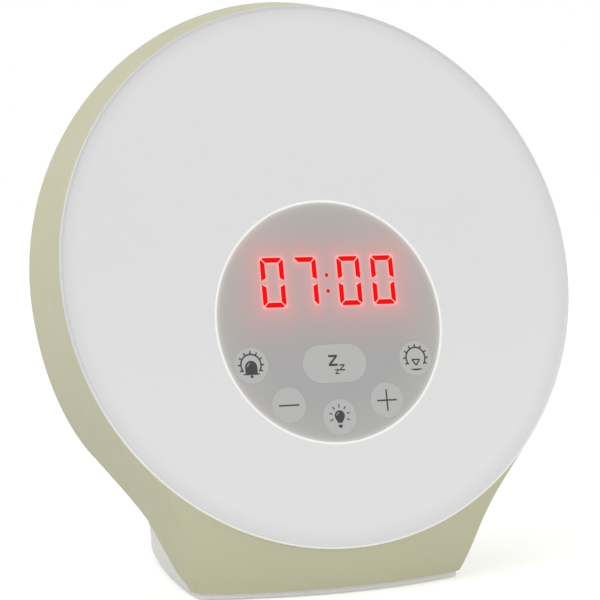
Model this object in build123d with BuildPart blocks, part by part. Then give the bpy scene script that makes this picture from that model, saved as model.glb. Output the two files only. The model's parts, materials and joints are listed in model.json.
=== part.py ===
"""Sunrise alarm clock.

A leaning disc of translucent plastic is lit from behind and carries a round control panel with a
four-digit display and six keys.  A two-part case (front shroud and rear shell) stands on a flared
foot with a base plate.  Millimetres, +Z up, the front looks along -Y, the origin is the middle of
the footprint on the surface that the clock stands on.
"""

from build123d import *
from math import cos, radians, sin, sqrt
import os

os.makedirs("parts", exist_ok=True)

# ---------------------------------------------------------------------------------------------
# Driving dimensions
# ---------------------------------------------------------------------------------------------

# Stance
lean = 13.25                # degrees that the disc leans back
disc_height = 102.5         # centre of the disc above the table
base_reach = 100.0          # disc centre to the back of the base
foot_pad_proud = 0.5        # rubber pads stand out under the base plate
base_thickness = 1.85       # strip of base plate seen under the case

# Disc: depths are behind the plane through the disc centre
disc_radius = 88.75
face_recess = 1.5
diffuser_thickness = 2.2
cove_width = 3.0            # hollow that leads from the flat face to the rim
cove_rise = 0.35
rim_width = 1.1             # sloping rim, from the hollow to the disc's edge
rim_rise = 0.8
rim_rounding = 0.25
rim_seat = 1.6              # depth at which the rim lies on the front of the case
rim_overlap = 1.6
ledge_reach = 8.25          # disc's edge to the inner edge of the ledge that carries it
ledge_thickness = 3.25

# Case
wall = 2.2
front_toe = 13.28           # the foot's front meets the base this far before the disc centre
front_radius = 127.0        # plan radius of the foot's front
front_proud = 0.3           # the foot's front stands this far before the rim's lowest point
parting_depth = 37.5        # disc centre to the upright back edge of the round body
parting_draft = 0.4         # that edge is this much smaller than the disc
parting_turn = 12.0         # below the disc centre, where that edge starts to run back
parting_tip_depth = 62.5    # rear tip of the shroud
parting_tip_drop = 0.735    # its drop below the disc centre, as a share of the disc's radius
parting_toe = -0.8          # depth at which the parting line meets the base
parting_tip_rounding = 4.0
parting_gap = 0.3
spigot_length = 4.0
spigot_wall = 1.8
spigot_grip = 4.5           # how far the spigot runs back inside the rear shell's wall
spigot_gap = 0.2

# Plan of the foot at each height.  Heights are shares of the disc centre's height above the case's
# lower edge, half widths are shares of the disc's radius, and depths are shares of the base's reach:
# (height, half width, depth where the sides turn in, depth of the back, corner rounding)
foot_stations = [
    (0.0, 0.53, 0.06, 1.0, 5.0),
    (0.136, 0.583, 0.15, 0.885, 5.0),
    (0.266, 0.64, 0.37, 0.84, 5.0),
    (0.397, 0.732, 0.535, 0.79, 3.0),
    (0.548, 0.843, 0.425, 0.76, 3.0),
    (0.749, 0.937, 0.385, 0.74, 3.0),
]
least_corner = 1.0
shoulder_width = 0.74       # shoulder of the tail, as a share of the half width
shoulder_reach = 0.734      # and of the way from the sides' end to the back
shoulder_bulge = 0.026

# Rear dome: depths behind the disc centre, and radii as shares of the radius at its rim
dome_step = 0.45            # the dome's rim lies inside the shroud's edge
dome_waist_depth = 58.0
dome_waist_share = 0.856
dome_back_depth = 76.0
dome_back_share = 0.548
dome_waist_slant = (0.8, 0.6)  # direction that the wall faces at its waist: outwards, backwards
dome_back_slant = 0.3

# Control panel
panel_drop = 16.1           # centre of the panel below the centre of the disc
panel_opening = 39.7
light_ring_width = 0.7
panel_thickness = 2.0
panel_skirt = 0.7
panel_skirt_length = 12.5
panel_gap = 0.1
key_gap = 0.15

# Keys: centres on the panel, sizes and travel
round_key_radius = 5.7
round_keys = {
    "alarm_key": (-28.8, -13.2),
    "sunset_key": (28.8, -13.2),
    "minus_key": (-17.1, -26.4),
    "plus_key": (17.1, -26.4),
    "lamp_key": (0.0, -31.0),
}
snooze_key_place = (0.0, -13.7)
snooze_key_size = (22.0, 12.2)
key_flange = 0.5
key_flange_thickness = 0.8
key_stem_radius = 1.6
key_travel = 0.6
key_edge = 0.2

# Display
shown_time = "0700"
digit_height = 16.1
digit_width = 8.0
segment_width = 1.6
segment_gap = 0.25
segment_waist = 0.65        # half the gap between the upper and lower segments, at the outside
digit_corner = 0.8          # cut off the outer corners of a digit
digit_places = (-18.8, -7.4, 7.9, 19.9)
digit_rise = 13.0
colon_place = (0.0, 15.0, 9.8)
colon_radius = 0.65
display_size = (50.0, 20.0)
display_corner = 1.0

# Key board and its switches
key_board_depth = 11.5
board_thickness = 1.6
key_board_radius = 37.8
switch_size = 6.0
switch_corner = 0.6
switch_height = 3.5
switch_plunger_radius = 1.4
switch_plunger_height = 0.8
panel_boss_places = [(-33.0, 4.0), (33.0, 4.0), (-9.3, -23.6), (9.3, -23.6)]
panel_boss_radius = 1.85

# Pod that carries the panel, and the reflector behind the diffuser
pod_wall = 1.65
pod_web_depth = 18.0
pod_web_thickness = 1.5
tray_depth = 26.0
tray_thickness = 1.6
tray_front_step = 2.0       # mouth of the tray inside the ledge's edge
tray_taper = 1.0
tray_wall = 1.6
tray_flange_margin = 1.35   # flange to the inside of the case
tray_flange_thickness = 1.5
tray_screw_count = 6
led_board_gap = 1.25        # board's inner edge to the pod, at the pod's lowest point
led_board_margin = 1.9      # board's edge to the wall of the tray
led_count = 24
led_size = 3.5
led_height = 1.0
led_screw_count = 4
led_screw_step = 0.0833     # screws sit midway between two LEDs

# Main board
main_board_depth = 34.0
main_board_size = (70.0, 46.0)
main_board_drop = 24.0      # centre of the main board below the centre of the disc
main_board_holes = (62.0, 38.0)
board_corner = 2.0
standoff_radius = 2.6
ribbon_width = 14.0
ribbon_thickness = 0.4
ribbon_socket = (17.0, 5.0, 2.5)
ribbon_drop = 8.0           # ribbon below the centre of the panel
ribbon_slot = (18.0, 6.0)

# Parts on the main board: place from its centre, size and height
chips = [
    (4.0, 4.0, 10.0, 10.0, 1.2),
    (20.0, 6.0, 6.0, 5.0, 1.5),
    (20.0, -8.0, 5.0, 4.0, 1.4),
    (-4.0, 18.5, 10.0, 4.0, 5.5),
    (14.0, 18.5, 7.0, 4.0, 5.5),
    (12.0, -19.5, 8.0, 5.0, 6.0),
]
capacitors = [(8.0, -10.0, 3.2, 9.0), (28.0, 0.0, 2.5, 7.0), (14.0, -14.0, 2.5, 7.0)]
cell_place = (-18.0, -4.0)
cell_radius = 10.0
cell_thickness = 3.2
cell_edge = 0.3
cell_holder_wall = 1.4
cell_holder_floor = 1.0
cell_proud = 0.6

# Speaker
speaker_radius = 28.0
speaker_rise = 6.0
speaker_flange = 1.5
speaker_depth = 11.0        # flange to the back of the basket
speaker_magnet_radius = 12.0
speaker_magnet_depth = 5.0
speaker_seat = 2.0
speaker_gasket = 0.4
speaker_seat_inner = 22.0
speaker_screw_ring = 26.1
speaker_screw_count = 4
speaker_screw_step = 0.5
speaker_basket_front = 24.2
speaker_basket_back = 14.0
speaker_sheet = 1.1         # thickness of the basket
speaker_cone_radius = 22.8
speaker_cone_seat = 1.0
speaker_surround = 1.6
speaker_screw = (1.7, 1.2, 0.9, 3.6)
speaker_cone_well = 7.5
speaker_cone_clearance = 1.6
cone_cap = 1.6
speaker_cone_thickness = 0.5
grille_ring_pitch = 4.6
grille_rings = 4
grille_step = 6             # holes that each ring of the grille adds
grille_hole_radius = 1.15

# Power inlet
socket_height = 13.0        # bore of the inlet above the table
socket_nose_radius = 5.0
socket_bore_radius = 3.1
socket_pin_radius = 1.0
socket_nose_length = 9.0
socket_body = (12.0, 14.0)
socket_body_height = 12.0
socket_bore_depth = 8.0
socket_pin_set_back = 1.0
socket_corner = 1.0
socket_set_back = 1.2       # nose behind the surface of the case

# Fasteners: head radius, head height, shank radius, shank length
small_screw = (1.9, 1.3, 0.9, 3.0)
case_screw = (3.0, 2.0, 1.5, 9.0)
base_screw = (2.8, 1.8, 1.4, 8.0)
screw_play = 0.1
recess_span = 1.2           # cross recess, as shares of the head's radius
recess_width = 0.25

# Screw bosses of the case: places across and above the disc centre, as shares of its radius
case_screw_shares = [(-0.563, 0.428), (0.563, 0.428), (-0.563, -0.451), (0.563, -0.451)]
case_boss_radius = 3.6
case_boss_end = 48.0        # depth at which the tray's bosses and the rear shell's wells meet
case_well_radius = 5.0
case_well_floor = 3.0

# Base: places across it, as shares of its half width, and behind the disc centre, of its reach
pad_radius = 6.5
pad_recess = 0.8
pad_places = [(-0.644, 0.16), (0.644, 0.16), (-0.4, 0.81), (0.4, 0.81)]
front_base_screws = [(-0.773, -0.017), (0.773, -0.017)]
rear_base_screws = [(-0.322, 0.66), (0.322, 0.66)]
base_boss_radius = 3.0
base_boss_height = 12.0
base_island_radius = 4.2    # thicker island of the base plate round each screw
base_island_height = 1.6
base_counterbore = 2.0      # seat of the screw heads above the underside
base_inset = 1.3
base_upstand = 2.0
base_upstand_inset = 4.6
base_upstand_wall = 1.6
rib_thickness = 1.6
fit_gap = 0.15

# ---------------------------------------------------------------------------------------------
# Derived sizes and reference planes
# ---------------------------------------------------------------------------------------------

tilt = radians(lean)
rim_crease_depth = face_recess - cove_rise
rim_crest_depth = rim_crease_depth - rim_rise
rim_crest_radius = disc_radius - rim_rounding
front_reach = rim_crest_radius * sin(tilt) - rim_crest_depth * cos(tilt)
disc_y = (front_reach - base_reach) / 2
case_bottom = foot_pad_proud + base_thickness
centre_height = disc_height - case_bottom
big = 4 * disc_radius

# The foot's front leans forward from its toe to just before the rim's lowest point
rim_bottom_depth = rim_seat * cos(tilt) - disc_radius * sin(tilt)
rim_bottom_height = centre_height - disc_radius * cos(tilt) - rim_seat * sin(tilt)
front_slope = (front_proud - rim_bottom_depth - front_toe) / rim_bottom_height

# Depths behind the disc centre, at right angles to the disc
face_back = face_recess + diffuser_thickness
ledge_back = face_back + ledge_thickness
panel_back = face_recess + panel_thickness
skirt_back = face_recess + panel_skirt_length
key_board_back = key_board_depth + board_thickness
tray_back = tray_depth + tray_thickness
main_board_back = main_board_depth + board_thickness
led_board_depth = tray_depth - board_thickness
switch_depth = key_board_depth - switch_height
plunger_depth = switch_depth - switch_plunger_height

# Radii
opening_radius = disc_radius - rim_overlap
ledge_radius = disc_radius - ledge_reach
tray_front_radius = ledge_radius - tray_front_step
tray_back_radius = tray_front_radius - tray_taper
tray_flange_radius = disc_radius - wall - tray_flange_margin
led_board_outer = tray_back_radius - tray_wall - led_board_margin
parting_radius = disc_radius - parting_draft
dome_rim_radius = parting_radius - dome_step
foot_half_width = foot_stations[0][1] * disc_radius
light_ring_inner = panel_opening - light_ring_width
panel_radius = light_ring_inner - panel_gap
pod_radius = light_ring_inner + pod_wall
led_board_inner = panel_drop + pod_radius + led_board_gap
led_ring_radius = (led_board_inner + led_board_outer) / 2
tray_flange_middle = (ledge_radius + tray_flange_radius) / 2

# Depths behind the disc centre, level
back_wall_inner = dome_back_depth - wall
speaker_seat_depth = back_wall_inner - speaker_seat
speaker_front = speaker_seat_depth - speaker_gasket
speaker_flange_back = speaker_front - speaker_flange

cone_bottom = speaker_flange_back - speaker_depth + speaker_sheet + speaker_cone_clearance
speaker_pilot = speaker_screw[3] - speaker_flange + small_screw[1]

# Power inlet, level depths
tail_lean_in = (foot_stations[0][3] - foot_stations[1][3]) * base_reach
tail_slope = tail_lean_in / (foot_stations[1][0] * centre_height)
tail_depth = base_reach - tail_slope * (socket_height - case_bottom)
socket_face_depth = tail_depth - socket_set_back
socket_body_back = socket_face_depth - socket_nose_length
socket_body_front = socket_body_back - socket_body[1]

base_seat_height = foot_pad_proud + base_counterbore
small_shank = small_screw[2]
small_length = small_screw[3]
case_screw_places = [(x * disc_radius, y * disc_radius) for x, y in case_screw_shares]


def face_plane(depth, rise=0.0):
    """Plane parallel to the disc, depth behind its centre; local x to the right, y up the disc."""
    origin = (
        0,
        disc_y + rise * sin(tilt) + depth * cos(tilt),
        disc_height + rise * cos(tilt) - depth * sin(tilt),
    )
    return Plane(origin=origin, x_dir=(1, 0, 0), z_dir=(0, -cos(tilt), sin(tilt)))


def panel_plane(depth):
    """Face plane centred on the control panel."""
    return face_plane(depth, -panel_drop)


def upright_plane(depth, rise=0.0):
    """Vertical plane at a depth behind the disc centre, facing the front; x right, y up."""
    origin = (0, disc_y + depth, disc_height + rise)
    return Plane(origin=origin, x_dir=(1, 0, 0), z_dir=(0, -1, 0))


def speaker_plane(depth):
    """Upright plane centred on the speaker."""
    return upright_plane(depth, speaker_rise)


def socket_plane(depth):
    """Upright plane centred on the bore of the power inlet."""
    return upright_plane(depth, socket_height - disc_height)


def on_base(places):
    """Places given as shares of the base, as places on a level plane."""
    return [(x * foot_half_width, disc_y + depth * base_reach) for x, depth in places]


def front_depth(height):
    """Depth of the foot's front, on its centre line, at a height above the case's lower edge."""
    return rim_bottom_depth - front_proud - front_slope * (height - rim_bottom_height)


# ---------------------------------------------------------------------------------------------
# Shared forms
# ---------------------------------------------------------------------------------------------


def foot_section(station, inset):
    """Plan of the foot at one station, drawn inwards by inset."""
    height_share, width_share, side_share, back_share, corner = station
    height = height_share * centre_height
    half = width_share * disc_radius - inset
    front = disc_y + front_depth(height) + inset * sqrt(1 + front_slope**2)
    corner_y = front + front_radius - sqrt(front_radius**2 - half**2)
    side_y = disc_y + side_share * base_reach
    back = disc_y + back_share * base_reach - inset
    shoulder = (shoulder_width * half, side_y + shoulder_reach * (back - side_y))
    bulge = shoulder_bulge * (shoulder[1] - side_y)
    flank = ((half + shoulder[0]) / 2 + bulge, (side_y + shoulder[1]) / 2)
    with BuildSketch(Plane.XY.offset(case_bottom + height)) as plan:
        with BuildLine():
            ThreePointArc((-half, corner_y), (0, front), (half, corner_y))
            Line((half, corner_y), (half, side_y))
            ThreePointArc((half, side_y), flank, shoulder)
            ThreePointArc(shoulder, (0, back), (-shoulder[0], shoulder[1]))
            ThreePointArc((-shoulder[0], shoulder[1]), (-flank[0], flank[1]), (-half, side_y))
            Line((-half, side_y), (-half, corner_y))
        make_face()
        fillet(plan.vertices().group_by(Axis.Y)[0], radius=max(corner - inset, least_corner))
    return plan.sketch


def foot_form(inset):
    """Flared foot, from the case's lower edge to inside the round body."""
    with BuildPart() as form:
        for station in foot_stations:
            add(foot_section(station, inset))
        loft()
    return form.part


def barrel_form(inset):
    """Round body: from the leaning rim to an upright circle, and level behind that."""
    with BuildPart() as form:
        with BuildSketch(face_plane(rim_seat)):
            Circle(disc_radius - inset)
        with BuildSketch(upright_plane(parting_depth)):
            Circle(parting_radius - inset)
        loft(ruled=True)
        with BuildSketch(upright_plane(parting_tip_depth + wall)):
            Circle(parting_radius - inset)
        extrude(amount=parting_tip_depth + wall - parting_depth)
    return form.part


def dome_form(inset):
    """Bowl-shaped back of the round body, ending in a flat disc."""
    rim = (dome_rim_radius - inset, parting_depth)
    waist = (
        dome_waist_share * dome_rim_radius - dome_waist_slant[0] * inset,
        dome_waist_depth - dome_waist_slant[1] * inset,
    )
    back = (dome_back_share * dome_rim_radius - dome_back_slant * inset, dome_back_depth - inset)
    with BuildPart() as form:
        with BuildSketch(Plane.XY):
            with BuildLine():
                Line((0, rim[1] - spigot_length), (rim[0], rim[1] - spigot_length))
                Line((rim[0], rim[1] - spigot_length), rim)
                ThreePointArc(rim, waist, back)
                Line(back, (0, back[1]))
                Line((0, back[1]), (0, rim[1] - spigot_length))
            make_face()
        revolve(axis=Axis.Y)
    return Pos(0, disc_y, disc_height) * form.part


def shroud_side(gap):
    """Side view of everything in front of the parting line, grown by gap."""
    top = disc_height + big / 2
    turn = disc_height - parting_turn
    tip = (disc_y + parting_tip_depth, disc_height - parting_tip_drop * disc_radius)
    toe = (disc_y + parting_toe, case_bottom)
    run_out = (toe[0] - (tip[0] - toe[0]), toe[1] - (tip[1] - toe[1]))
    with BuildSketch(Plane.YZ) as view:
        with BuildLine():
            Line((disc_y - big / 2, top), (disc_y + parting_depth, top))
            Line((disc_y + parting_depth, top), (disc_y + parting_depth, turn))
            TangentArc((disc_y + parting_depth, turn), tip, tangent=(0, -1))
            Line(tip, run_out)
            Line(run_out, (disc_y - big / 2, run_out[1]))
            Line((disc_y - big / 2, run_out[1]), (disc_y - big / 2, top))
        make_face()
        fillet(view.vertices().sort_by(Axis.Y)[-1:], radius=parting_tip_rounding)
        if gap > 0:
            offset(amount=gap)
    return view.sketch


def round_outline(grow):
    """Outline of a round key, grown all round."""
    Circle(round_key_radius + grow)


def snooze_outline(grow):
    """Outline of the long snooze key, grown all round."""
    SlotOverall(snooze_key_size[0] + 2 * grow, snooze_key_size[1] + 2 * grow)


def screw_set(seat, places, size, side=1):
    """Cross-recess screws: heads on the seat plane, on its front (side 1) or its back (-1)."""
    head_radius, head_height, shank_radius, shank_length = size
    with BuildSketch(seat) as heads:
        with Locations(*places):
            Circle(head_radius)
    extrude(heads.sketch, amount=side * head_height)
    with BuildSketch(seat.offset(side * head_height)) as recesses:
        with Locations(*places):
            Rectangle(recess_span * head_radius, recess_width * head_radius)
            Rectangle(recess_width * head_radius, recess_span * head_radius)
    extrude(recesses.sketch, amount=-side * head_height / 2, mode=Mode.SUBTRACT)
    with BuildSketch(seat) as shanks:
        with Locations(*places):
            Circle(shank_radius)
    extrude(shanks.sketch, amount=-side * shank_length)


def pegs(plane, places, radius, length):
    """Round bosses that stand forward (or up) from the plane."""
    with BuildSketch(plane) as outline:
        with Locations(*places):
            Circle(radius)
    extrude(outline.sketch, amount=length)


def drill(plane, places, radius, depth):
    """Round holes that run backward (or down) from the plane."""
    with BuildSketch(plane) as outline:
        with Locations(*places):
            Circle(radius)
    extrude(outline.sketch, amount=-depth, mode=Mode.SUBTRACT)


def cut_before(plane):
    """Removes what lies in front of (or above) the plane."""
    with BuildSketch(plane) as outline:
        Rectangle(big, big)
    extrude(outline.sketch, amount=big, mode=Mode.SUBTRACT)


def cut_behind(plane):
    """Removes what lies behind (or under) the plane."""
    with BuildSketch(plane) as outline:
        Rectangle(big, big)
    extrude(outline.sketch, amount=-big, mode=Mode.SUBTRACT)


def slot_through(plane, place, size, depth):
    """Rectangular opening from the plane, against its normal."""
    with BuildSketch(plane) as outline:
        with Locations(place):
            Rectangle(*size)
    extrude(outline.sketch, amount=-depth, mode=Mode.SUBTRACT)


def ring_places(radius, count, start=0.0):
    """Evenly spaced places on a circle; start is in steps, from straight up."""
    angles = [radians(360 * (i + start) / count) for i in range(count)]
    return [(radius * sin(a), radius * cos(a)) for a in angles]


def segment(name):
    """Corners of one display segment, about the middle of its digit."""
    x, y, s, g = digit_width / 2, digit_height / 2, segment_width, segment_gap
    waist, corner = segment_waist, digit_corner
    top_right = [(x - g - corner, y), (x - g - corner / 2, y - corner / 2), (x - s - g, y - s)]
    top = [(-px, py) for px, py in reversed(top_right)] + top_right
    upper = [
        (x, y - g - corner),
        (x, waist),
        (x - s, s / 2 + waist),
        (x - s, y - s - g),
        (x - corner / 2, y - g - corner / 2),
    ]
    shapes = {
        "top": top,
        "bottom": [(px, -py) for px, py in top],
        "upper right": upper,
        "lower right": [(px, -py) for px, py in upper],
        "upper left": [(-px, py) for px, py in upper],
        "lower left": [(-px, -py) for px, py in upper],
    }
    return shapes[name]


lit_segments = {
    "0": ("top", "upper right", "lower right", "bottom", "lower left", "upper left"),
    "7": ("top", "upper right", "lower right"),
}


def time_outline():
    """The lit segments and colon of the display, drawn on the panel."""
    for digit, across in zip(shown_time, digit_places):
        for name in lit_segments[digit]:
            with Locations((across, digit_rise)):
                Polygon(*segment(name), align=None)
    with Locations(*[(colon_place[0], rise) for rise in colon_place[1:]]):
        Circle(colon_radius)


def front_edges(part):
    """Edges of a part's foremost face, along the direction that the disc faces."""
    facing = Axis(face_plane(0).origin, face_plane(0).z_dir)
    return part.faces().sort_by(facing)[-1].edges()


def save(part, name):
    """Label a finished piece and write it."""
    part.part.label = name
    export_step(part.part, f"parts/{name}.step")


foot_outer = foot_form(0)
foot_inner = foot_form(wall)
tray_screw_places = ring_places(tray_flange_middle, tray_screw_count, 0.5)
led_screw_places = ring_places(led_ring_radius, led_screw_count, led_screw_step)
speaker_screw_places = ring_places(speaker_screw_ring, speaker_screw_count, speaker_screw_step)
main_board_places = [
    (x * main_board_holes[0] / 2, y * main_board_holes[1] / 2 - main_board_drop)
    for x in (-1, 1)
    for y in (-1, 1)
]

# ---------------------------------------------------------------------------------------------
# Case
# ---------------------------------------------------------------------------------------------

boss_bottom = case_bottom + base_island_height
rib_bottom = case_bottom + base_upstand + parting_gap
rib_height = base_boss_height - base_upstand
base_pilot_top = base_seat_height + base_screw[3]
base_screw_places = on_base(front_base_screws + rear_base_screws)

with BuildPart() as shroud_cavity:
    add(barrel_form(wall))
    add(foot_inner)
    cut_before(face_plane(ledge_back))

with BuildPart() as shroud_envelope:
    add(barrel_form(0))
    add(foot_outer)
    cut_before(face_plane(rim_seat))
    add(extrude(shroud_side(0), amount=big, both=True, mode=Mode.PRIVATE), mode=Mode.INTERSECT)

with BuildPart() as rear_envelope:
    add(dome_form(0))
    add(foot_outer)
    add(
        extrude(shroud_side(parting_gap), amount=big, both=True, mode=Mode.PRIVATE),
        mode=Mode.SUBTRACT,
    )

with BuildPart() as shroud_bosses:
    pegs(Plane.XY.offset(boss_bottom), on_base(front_base_screws), base_boss_radius, base_boss_height)
    with BuildSketch(Plane.XY.offset(rib_bottom)):
        with Locations(*on_base(front_base_screws)):
            Rectangle(rib_thickness, big, align=(Align.CENTER, Align.MAX))
    extrude(amount=rib_height)
    add(shroud_envelope.part, mode=Mode.INTERSECT)

with BuildPart() as front_shroud:
    add(shroud_envelope.part)
    add(shroud_cavity.part, mode=Mode.SUBTRACT)
    drill(face_plane(0), [(0, 0)], opening_radius, face_back)
    drill(face_plane(0), [(0, 0)], ledge_radius, 2 * ledge_back)
    drill(
        face_plane(ledge_back - small_length + tray_flange_thickness),
        tray_screw_places,
        small_shank,
        small_length - tray_flange_thickness,
    )
    add(shroud_bosses.part)
    drill(
        Plane.XY.offset(base_pilot_top),
        on_base(front_base_screws),
        base_screw[2],
        base_pilot_top - case_bottom,
    )
save(front_shroud, "front_shroud")

with BuildPart() as spigot:
    add(barrel_form(wall + spigot_gap))
    add(barrel_form(wall + spigot_gap + spigot_wall), mode=Mode.SUBTRACT)
    cut_before(upright_plane(parting_depth - spigot_length))
    cut_behind(upright_plane(parting_depth + spigot_grip))
    cut_behind(Plane.XY.offset(disc_height - parting_turn + parting_gap))

with BuildPart() as lower_lip:
    add(barrel_form(wall + spigot_gap))
    add(dome_form(wall), mode=Mode.SUBTRACT)
    add(foot_inner, mode=Mode.SUBTRACT)
    cut_before(Plane.XY.offset(disc_height - parting_turn))
    add(
        extrude(shroud_side(spigot_grip), amount=big, both=True, mode=Mode.PRIVATE),
        mode=Mode.INTERSECT,
    )
    add(
        Pos(0, -spigot_length, 0) * extrude(shroud_side(0), amount=big, both=True, mode=Mode.PRIVATE),
        mode=Mode.SUBTRACT,
    )

with BuildPart() as rear_wells:
    with BuildSketch(upright_plane(case_boss_end)):
        with Locations(*case_screw_places):
            Circle(case_well_radius)
    extrude(amount=-big)
    add(rear_envelope.part, mode=Mode.INTERSECT)

with BuildPart() as rear_bosses:
    pegs(Plane.XY.offset(boss_bottom), on_base(rear_base_screws), base_boss_radius, base_boss_height)
    with BuildSketch(Plane.XY.offset(rib_bottom)):
        with Locations((0, on_base(rear_base_screws)[0][1])):
            Rectangle(big, rib_thickness)
    extrude(amount=rib_height)
    add(rear_envelope.part, mode=Mode.INTERSECT)

with BuildPart() as rear_shell:
    add(rear_envelope.part)
    add(dome_form(wall), mode=Mode.SUBTRACT)
    add(foot_inner, mode=Mode.SUBTRACT)
    add(spigot.part)
    add(lower_lip.part)
    add(rear_wells.part)
    add(rear_bosses.part)
    drill(
        upright_plane(case_boss_end + case_well_floor),
        case_screw_places,
        case_screw[0] + 2 * screw_play,
        big,
    )
    drill(upright_plane(case_boss_end), case_screw_places, case_screw[2] + screw_play, big)
    drill(
        Plane.XY.offset(base_pilot_top),
        on_base(rear_base_screws),
        base_screw[2],
        base_pilot_top - case_bottom,
    )
    with BuildSketch(speaker_plane(speaker_seat_depth)):
        Circle(speaker_radius)
        Circle(speaker_seat_inner, mode=Mode.SUBTRACT)
    extrude(amount=-speaker_seat)
    drill(speaker_plane(speaker_front), speaker_screw_places, small_shank, speaker_pilot)
    for ring in range(grille_rings + 1):
        drill(
            speaker_plane(back_wall_inner),
            ring_places(ring * grille_ring_pitch, max(grille_step * ring, 1)),
            grille_hole_radius,
            2 * wall,
        )
    slot_through(
        socket_plane(socket_body_front - fit_gap),
        (0, 0),
        (socket_body[0] + 2 * fit_gap, socket_body_height + 2 * fit_gap),
        socket_body[1] + 2 * fit_gap,
    )
    drill(socket_plane(socket_body_back), [(0, 0)], socket_nose_radius + fit_gap, big)
save(rear_shell, "rear_shell")

with BuildPart() as base_plate:
    add(foot_section(foot_stations[0], base_inset))
    extrude(amount=-base_thickness)
    add(foot_section(foot_stations[0], base_upstand_inset))
    add(
        foot_section(foot_stations[0], base_upstand_inset + base_upstand_wall),
        mode=Mode.SUBTRACT,
    )
    extrude(amount=base_upstand)
    drill(
        Plane.XY.offset(case_bottom + base_upstand),
        base_screw_places,
        base_boss_radius + parting_gap,
        base_upstand,
    )
    pegs(Plane.XY.offset(case_bottom), base_screw_places, base_island_radius, base_island_height)
    with BuildSketch(Plane.XY.offset(case_bottom)):
        with Locations((0, disc_y + socket_body_front)):
            Rectangle(*socket_body, align=(Align.CENTER, Align.MIN))
    extrude(amount=socket_height - socket_body_height / 2 - case_bottom)
    drill(
        Plane.XY.offset(boss_bottom),
        base_screw_places,
        base_screw[2] + screw_play,
        boss_bottom,
    )
    drill(Plane.XY.offset(base_seat_height), base_screw_places, base_screw[0] + screw_play, case_bottom)
    drill(Plane.XY.offset(foot_pad_proud + pad_recess), on_base(pad_places), pad_radius, case_bottom)
save(base_plate, "base_plate")

with BuildPart() as rubber_feet:
    pegs(Plane.XY, on_base(pad_places), pad_radius - screw_play, foot_pad_proud + pad_recess)
    fillet(rubber_feet.edges().group_by(Axis.Z)[0], radius=foot_pad_proud / 2)
save(rubber_feet, "rubber_feet")

with BuildPart() as base_screws:
    screw_set(Plane.XY.offset(base_seat_height), base_screw_places, base_screw, -1)
save(base_screws, "base_screws")

with BuildPart() as case_screws:
    screw_set(upright_plane(case_boss_end + case_well_floor), case_screw_places, case_screw, -1)
save(case_screws, "case_screws")

# ---------------------------------------------------------------------------------------------
# Disc: diffuser, light ring, reflector and lamps
# ---------------------------------------------------------------------------------------------

disc_section = Plane(
    origin=face_plane(0).origin,
    x_dir=(1, 0, 0),
    z_dir=(0, sin(tilt), cos(tilt)),
)
disc_axis = Axis(face_plane(0).origin, face_plane(0).z_dir)
cove_start = (disc_radius - rim_width - cove_width, face_recess)
rim_crease = (disc_radius - rim_width, rim_crease_depth)
rim_crest = (rim_crest_radius, rim_crest_depth)

with BuildPart() as diffuser:
    with BuildSketch(disc_section):
        with BuildLine():
            Line((0, face_recess), cove_start)
            TangentArc(cove_start, rim_crease, tangent=(1, 0))
            Line(rim_crease, rim_crest)
            TangentArc(rim_crest, (disc_radius, rim_crest_depth + rim_rounding), tangent=(1, 0))
            Polyline(
                (disc_radius, rim_crest_depth + rim_rounding),
                (disc_radius, rim_seat),
                (opening_radius - fit_gap, rim_seat),
                (opening_radius - fit_gap, face_back),
                (0, face_back),
                (0, face_recess),
            )
        make_face()
    revolve(axis=disc_axis)
    drill(panel_plane(0), [(0, 0)], panel_opening, 2 * face_back)
save(diffuser, "diffuser")

with BuildPart() as light_ring:
    with BuildSketch(panel_plane(face_recess)):
        Circle(panel_opening)
        Circle(light_ring_inner, mode=Mode.SUBTRACT)
    extrude(amount=-diffuser_thickness)
save(light_ring, "light_ring")

with BuildPart() as panel_pod:
    with BuildSketch(panel_plane(face_back)):
        Circle(pod_radius)
        Circle(light_ring_inner, mode=Mode.SUBTRACT)
    extrude(amount=-(tray_depth - face_back))
    with BuildSketch(panel_plane(pod_web_depth)):
        Circle(pod_radius - pod_wall / 2)
    extrude(amount=-pod_web_thickness)
    slot_through(panel_plane(pod_web_depth), (0, -ribbon_drop), ribbon_slot, pod_web_thickness)
save(panel_pod, "panel_pod")

with BuildPart() as tray_bosses:
    with BuildSketch(upright_plane(case_boss_end)):
        with Locations(*case_screw_places):
            Circle(case_boss_radius)
    extrude(amount=case_boss_end)
    cut_before(face_plane(tray_depth + tray_thickness / 2))

with BuildPart() as reflector_tray:
    with BuildSketch(disc_section):
        with BuildLine():
            Polyline(
                (0, tray_depth),
                (tray_back_radius - tray_wall, tray_depth),
                (tray_front_radius, ledge_back),
                (tray_flange_radius, ledge_back),
                (tray_flange_radius, ledge_back + tray_flange_thickness),
                (tray_front_radius + tray_wall, ledge_back + tray_flange_thickness),
                (tray_back_radius, tray_back),
                (0, tray_back),
                close=True,
            )
        make_face()
    revolve(axis=disc_axis)
    drill(face_plane(ledge_back), tray_screw_places, small_shank, 2 * tray_flange_thickness)
    drill(face_plane(tray_depth), led_screw_places, small_shank, small_length - board_thickness)
    slot_through(panel_plane(tray_depth), (0, -ribbon_drop), ribbon_slot, tray_thickness)
    pegs(face_plane(main_board_depth), main_board_places, standoff_radius, main_board_depth - tray_back)
    drill(
        face_plane(main_board_back - small_length),
        main_board_places,
        small_shank,
        small_length,
    )
    add(tray_bosses.part)
    drill(
        upright_plane(case_boss_end + case_well_floor - case_screw[3]),
        case_screw_places,
        case_screw[2],
        case_screw[3],
    )
save(reflector_tray, "reflector_tray")

with BuildPart() as tray_screws:
    screw_set(
        face_plane(ledge_back + tray_flange_thickness), tray_screw_places, small_screw, -1
    )
save(tray_screws, "tray_screws")

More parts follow.
